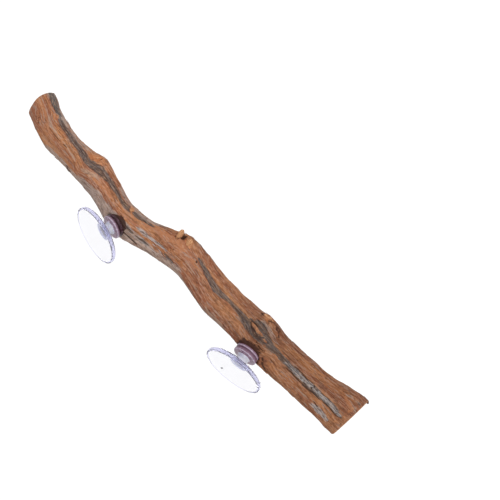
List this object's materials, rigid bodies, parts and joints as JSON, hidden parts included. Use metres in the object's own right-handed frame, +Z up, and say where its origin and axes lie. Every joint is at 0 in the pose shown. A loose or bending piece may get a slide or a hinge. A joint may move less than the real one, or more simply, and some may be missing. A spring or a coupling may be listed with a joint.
{
  "type": "bird perch",
  "caption": "Crooked natural branch perch held to a pane by two soft swivelling suction cups screwed into drilled seats in the wood.",
  "frame": {"origin": "on the pane, in front of the middle of the branch's length", "axes": "+X along the branch to its thinner end, +Y square into the pane, +Z up"},
  "size_m": [0.3116, 0.0631, 0.0464],
  "materials": {
    "wood": "natural bark, brushed and heat-dried",
    "pvc": "clear soft PVC with a faint violet tint",
    "steel": "zinc plated"
  },
  "bodies": {
    "branch": {"branch": "wood", "upper_screw": "steel", "upper_washer": "steel", "lower_screw": "steel", "lower_washer": "steel"},
    "upper_head": {"upper_cup_head": "pvc"},
    "upper_disc": {"upper_cup_disc": "pvc", "upper_cup_neck": "pvc"},
    "lower_head": {"lower_cup_head": "pvc"},
    "lower_disc": {"lower_cup_disc": "pvc", "lower_cup_neck": "pvc"}
  },
  "joints": [
    {"name": "upper_cup_swivel", "type": "hinge", "parent": "branch", "child": "upper_head", "pos_m": [0.0465, -0.02037, 0.0002], "axis": [0.1391, 0.9897, -0.0349], "continuous": true},
    {"name": "upper_cup_tilt", "type": "hinge", "parent": "upper_head", "child": "upper_disc", "pos_m": [0.04749, -0.01334, -0.00005], "axis": [-0.0049, -0.0346, -0.9994], "range_deg": [-20, 20], "stiffness_Nm_per_rad": 0.1, "deforming": ["upper_cup_neck"]},
    {"name": "lower_cup_swivel", "type": "hinge", "parent": "branch", "child": "lower_head", "pos_m": [-0.0775, -0.02135, 0.007], "axis": [-0.1378, 0.9806, -0.1392], "continuous": true},
    {"name": "lower_cup_tilt", "type": "hinge", "parent": "lower_head", "child": "lower_disc", "pos_m": [-0.07848, -0.01439, 0.00601], "axis": [0.0194, -0.1378, -0.9903], "range_deg": [-20, 20], "stiffness_Nm_per_rad": 0.1, "deforming": ["lower_cup_neck"]}
  ]
}
